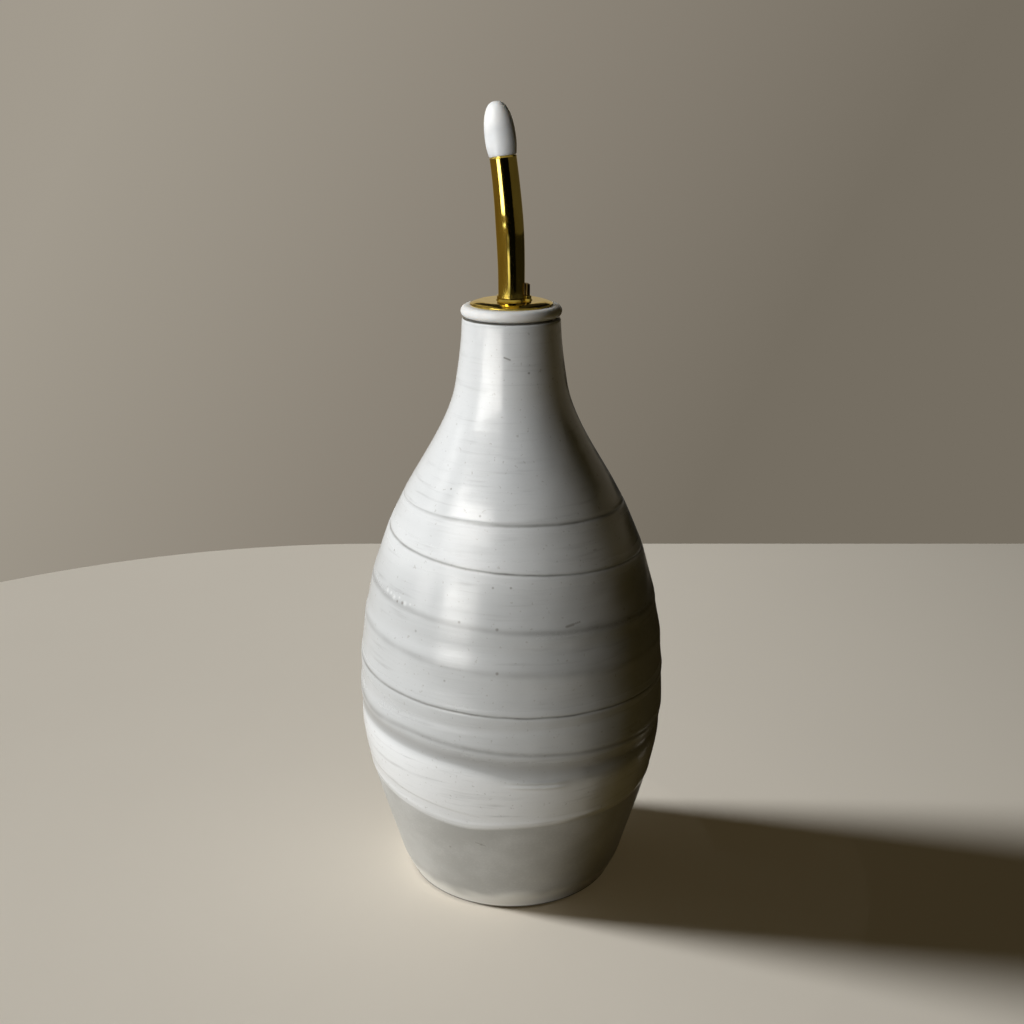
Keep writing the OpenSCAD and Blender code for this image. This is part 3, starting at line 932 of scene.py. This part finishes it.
# the vent's gold, darkened as painted shade
SHADED_GOLD = gold_material("gold_tone_painted_shade", light=(0.3, 0.21, 0.07), dark=(0.2, 0.13, 0.04))

# Each piece with its material, body, the node that it stands for and the record's slot
BUILT = (
    (bottle(), GLAZE, "bottle", "bottle", "stoneware"),
    (stopper(), STOPPER_WHITE, "stopper", "stopper", "stopper_silicone"),
    (collar(), GOLD, "pourer", "collar_plate", "gold_metal"),
    (spout(), GOLD, "pourer", "spout_tube", "gold_metal"),
    (vent(), SHADED_GOLD, "pourer", "vent_tube", "gold_metal"),
    (dust_cap(), CAP_WHITE, "dust_cap", "dust_cap", "cap_silicone"),
)
for piece, material, body, node, slot in BUILT:
    piece.data.materials.clear()
    piece.data.materials.append(material)
    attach(piece, body)
    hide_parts(node)
for node in ("stem_tube", "ferrule"):
    kept = frame["nodes"][node]
    for place in kept.material_slots:
        place.link = "OBJECT"
        place.material = GOLD

# Stage, in metres from the bottle's axis, seen from the camera
TABLE_BACK = 0.314
TABLE_NEAR = -0.9
TABLE_LEFT = -0.42
TABLE_RIGHT = 1.2
TABLE_CORNER = 0.34
TABLE_CORNER_POINTS = 40
TABLE_DROP = 0.0004                      # keeps the table's face clear of the foot's
TABLE_PALE = (0.86, 0.80, 0.70)
TABLE_DUSTY = (0.78, 0.72, 0.63)
# painted shade on the table to the right
TABLE_SHADE_RIGHT = (0.5, 0.465, 0.405)
TABLE_SHADE_SPAN = (30.0, 330.0)           # painted shade dims the table over these millimetres to the right of the bottle
TABLE_THROWN = (0.20, 0.15, 0.06)        # its colour for the light that it throws back
TABLE_LIFT = (0.031, 0.023, 0.012)       # a faint glow, for the eye alone
WALL_TONES = ((0.36, 0.325, 0.27), (0.262, 0.232, 0.189), (0.178, 0.156, 0.122))
WALL_SLANT = (1, 0, -0.5)                # painted shade darkens the wall this way, to the right and down
WALL_SPAN = 0.3
AMBIENT = (0.010, 0.007, 0.001)
LAMP_DISTANCE = 1.6
LAMP_COLOUR = (0.975, 0.99, 1)
LAMP_AIM = Vector((0, 0, 0.11))
CARD_COLUMNS = 25
CARD_ROWS = 13
CARD_BLACK = (0.004, 0.004, 0.004)
PALE = (1, 0.97, 0.92)
WARM = (1, 0.85, 0.6)
AMBER = (1, 0.72, 0.3)
SPOUT_CARDS = 0.07                       # distances of the cards from the bottle's axis
SPOUT_DARK = 0.072
PLATE_CARDS = 0.64
BACK_CARDS = 0.66
SHADE_CARDS = 0.42


def from_camera(right, away, up):
    """Point in the row frame from distances to the right of the camera's axis, away from it and up."""
    return Matrix.Rotation(CAMERA_AZIMUTH, 3, "Z") @ Vector((right, away, up))


def around(azimuth, distance, z):
    """Point round the bottle's axis, azimuth in degrees to the right of the camera."""
    a = math.radians(azimuth)
    return from_camera(distance * math.sin(a), -distance * math.cos(a), z)


def camera():
    """The photo's camera, which looks down at the bottle's axis."""
    lens = bpy.data.cameras.new("photo")
    lens.sensor_width = SENSOR
    lens.lens = SENSOR * FOCAL_PX / PHOTO_PX
    lens.shift_x = (PHOTO_PX / 2 - AXIS_PX) / PHOTO_PX
    lens.clip_start = CLIP_START
    eye = bpy.data.objects.new("photo", lens)
    eye.location = from_camera(0, -CAMERA_DISTANCE, CAMERA_HEIGHT)
    eye.rotation_euler = (math.pi / 2 - CAMERA_PITCH, 0, CAMERA_AZIMUTH)
    bpy.context.scene.collection.objects.link(eye)
    bpy.context.scene.camera = eye


def table_material():
    """Pale to the eye, with painted shade that dims it to the right, and darker for the light that it
    throws back.
    """
    g = Surface("table_pale", Specular_IOR_Level=0.0, Emission_Color=TABLE_LIFT)
    pale = g.mix(g.noise(*TABLE_CLOUD), TABLE_PALE, TABLE_DUSTY)
    right = g.vector("DOT_PRODUCT", g.place, from_camera(1, 0, 0), "Value")
    # painted shade, dimming the table to the right
    pale = g.mix(g.span(right, *TABLE_SHADE_SPAN), pale, TABLE_SHADE_RIGHT)
    seen = g.seen()
    g.to("Base Color", g.mix(seen, TABLE_THROWN, pale))
    g.to("Emission Strength", seen)
    return g.material


def table():
    """Pale table with a straight back edge and one rounded corner."""
    outline = [(TABLE_RIGHT, TABLE_BACK), (TABLE_RIGHT, TABLE_NEAR), (TABLE_LEFT, TABLE_NEAR)]
    centre = (TABLE_LEFT + TABLE_CORNER, TABLE_BACK - TABLE_CORNER)
    outline += arc(centre, TABLE_CORNER, start=180, end=90, steps=TABLE_CORNER_POINTS - 1)
    face = list(range(len(outline)))[::-1]
    mesh = bpy.data.meshes.new("table")
    mesh.from_pydata([from_camera(x, y, -TABLE_DROP) for x, y in outline], [], [face])
    mesh.materials.append(table_material())
    top = bpy.data.objects.new("table", mesh)
    bpy.context.scene.collection.objects.link(top)
    return top


def world():
    """Plain wall, darkened to the right by painted shade, and next to no light of its own on the object.
    """
    room = bpy.data.worlds.new("room")
    bpy.context.scene.world = room
    room.use_nodes = True
    room.node_tree.nodes.clear()
    g = Nodes(room.node_tree)
    direction = g.add("ShaderNodeTexCoord").outputs["Generated"]
    across = g.vector("DOT_PRODUCT", direction, from_camera(*WALL_SLANT), "Value")
    stops = zip(np.linspace(0, 1, len(WALL_TONES)), WALL_TONES)
    # painted shade, darker to the right and down
    tone = g.ramp(g.span(across, -WALL_SPAN, WALL_SPAN), *stops, interpolation="LINEAR")
    ambient = g.add("ShaderNodeBackground", {"Color": AMBIENT}).outputs[0]
    wall = g.add("ShaderNodeBackground", {"Color": tone}).outputs[0]
    either = g.add("ShaderNodeMixShader", {0: g.seen(), 1: ambient, 2: wall}).outputs[0]
    g.add("ShaderNodeOutputWorld", {"Surface": either})


def place_light(light, azimuth, elevation, only=None, all_but=None):
    """Aims a light at the bottle.

    It lights one object or all but one, and doesn't show in reflections.
    """
    light.color = LAMP_COLOUR
    source = bpy.data.objects.new(light.name, light)
    e = math.radians(elevation)
    height = LAMP_AIM.z + LAMP_DISTANCE * math.sin(e)
    source.location = around(azimuth, LAMP_DISTANCE * math.cos(e), height)
    source.rotation_euler = (LAMP_AIM - source.location).to_track_quat("-Z", "Y").to_euler()
    source.visible_camera = False
    source.visible_glossy = False
    bpy.context.scene.collection.objects.link(source)
    chosen = bpy.data.collections.new(light.name)
    chosen.objects.link(only or all_but)
    chosen.collection_objects[0].light_linking.link_state = "INCLUDE" if only else "EXCLUDE"
    source.light_linking.receiver_collection = chosen


def lamp(name, azimuth, elevation, size, watts, **targets):
    """Soft box of that width and height."""
    light = bpy.data.lights.new(name, "AREA")
    light.shape = "RECTANGLE"
    light.size, light.size_y = size
    light.energy = watts
    place_light(light, azimuth, elevation, **targets)


def low_sun(name, azimuth, elevation, spread, strength, **targets):
    """Even light, spread in degrees."""
    light = bpy.data.lights.new(name, "SUN")
    light.angle = math.radians(spread)
    light.energy = strength
    place_light(light, azimuth, elevation, **targets)


def card(name, azimuths, heights, distance, glow=0.0, tint=PALE, fill=False, soft=0.0):
    """Upright studio card, curved round the bottle, heights in millimetres, hidden from the camera.

    It is black, or glows in reflections, and with fill on matt surfaces too. A soft card's glow
    fades towards its edges, over that share of half its size.
    """
    points = [around(azimuth, distance, z * MM) for z in np.linspace(*heights, CARD_ROWS)
              for azimuth in np.linspace(*azimuths, CARD_COLUMNS)]
    starts = [row * CARD_COLUMNS + column for row in range(CARD_ROWS - 1)
              for column in range(CARD_COLUMNS - 1)]
    faces = [(k, k + 1, k + 1 + CARD_COLUMNS, k + CARD_COLUMNS) for k in starts]
    mesh = bpy.data.meshes.new(name)
    mesh.from_pydata(points, [], faces)
    g = Surface(name, Base_Color=CARD_BLACK, Specular_IOR_Level=0.0,
                Emission_Color=tint, Emission_Strength=glow)
    if soft:
        up, across = (ramp(1 - np.abs(np.linspace(-1, 1, n)), 0, soft) for n in (CARD_ROWS, CARD_COLUMNS))
        layer = mesh.attributes.new("glow", "FLOAT", "POINT")
        layer.data.foreach_set("value", glow * np.outer(up, across).ravel())
        g.to("Emission Strength", g.attribute("glow"))
    mesh.materials.append(g.material)
    sheet = bpy.data.objects.new(name, mesh)
    sheet.visible_camera = False
    sheet.visible_shadow = False
    sheet.visible_diffuse = fill or glow == 0
    bpy.context.scene.collection.objects.link(sheet)


camera()
TABLE = table()
world()
lamp("window", azimuth=-100, elevation=39, size=(0.6, 0.6), watts=11.8, all_but=TABLE)
low_sun("window_table", azimuth=-101, elevation=11, spread=13, strength=8.7, only=TABLE)
lamp("front", azimuth=-56, elevation=14, size=(1.0, 0.6), watts=19.8, all_but=TABLE)
lamp("cap", azimuth=-27, elevation=-6, size=(0.5, 0.5), watts=10.5,
     only=bpy.data.objects["cap_moulded"])
lamp("fill", azimuth=178, elevation=20, size=(0.3, 0.6), watts=6.0, all_but=TABLE)
# The window's reflection in the glaze and the cap: azimuths, heights and distance
card("glow_high", (-73, -30), (455, 1200), 1.0, glow=3.7, soft=0.3)
card("glow_side", (-105, -87), (370, 1160), 1.0, glow=1.9, soft=0.3)
card("glow_middle", (-54, -25), (128, 171), 0.29, glow=8.6, soft=0.3)
card("glow_low", (-56, -24), (36, 150), 0.3, glow=4.0, soft=0.4)
card("glow_low_side", (-82, -60), (110, 168), 0.3, glow=2.8, soft=0.5)
card("glow_neck", (-66, -13), (166, 200), 0.11, glow=7.6, soft=0.35)
card("glow_cap", (-70, -25), (222, 262), 0.15, glow=1.1, soft=0.3)
# Small cards near the spout, for its reflections
card("spout_front", (-62, 40), (180, 229), SPOUT_DARK)
card("spout_top", (-22, 40), (229, 246), SPOUT_DARK)
card("spout_left", (-150, -62), (180, 229), SPOUT_CARDS, glow=0.145, tint=AMBER)
card("spout_glow", (-62, -29), (206, 230), SPOUT_CARDS, glow=5.2, soft=0.45)
card("spout_middle", (-62, -16), (199, 207), SPOUT_CARDS, glow=0.15, tint=AMBER)
card("spout_low_left", (-62, -30), (180, 199), SPOUT_CARDS, glow=0.14, tint=AMBER)
card("spout_low_glow", (-30, -8), (180, 200), SPOUT_CARDS, glow=1.2, soft=0.7)
card("spout_right", (40, 150), (206, 246), SPOUT_CARDS, glow=0.06, tint=WARM)
card("spout_low_right", (40, 150), (180, 206), SPOUT_CARDS, glow=0.012, tint=WARM)
# Larger ones for the collar plate and the shaded side of the bottle
card("plate_left", (180, 200), (215, 420), PLATE_CARDS, glow=0.46, tint=WARM)
card("plate_right", (164, 180), (215, 420), PLATE_CARDS, glow=0.4, tint=WARM)
card("behind", (150, 196), (420, 2000), BACK_CARDS, glow=0.02, tint=WARM)
card("behind_left", (196, 260), (420, 2000), BACK_CARDS, glow=0.38, tint=WARM)
card("behind_right", (80, 150), (420, 2000), BACK_CARDS, glow=0.16, tint=WARM)
card("right_near", (90, 200), (0, 70), 0.07, glow=0.015, tint=AMBER, fill=True)
card("right_foot", (45, 178), (0, 75), 0.12, glow=0.012, tint=AMBER, fill=True)
card("right_low", (22, 165), (-2, 110), SHADE_CARDS)
card("right_high", (95, 165), (240, 700), SHADE_CARDS)
bpy.context.scene.view_settings.view_transform = "Standard"
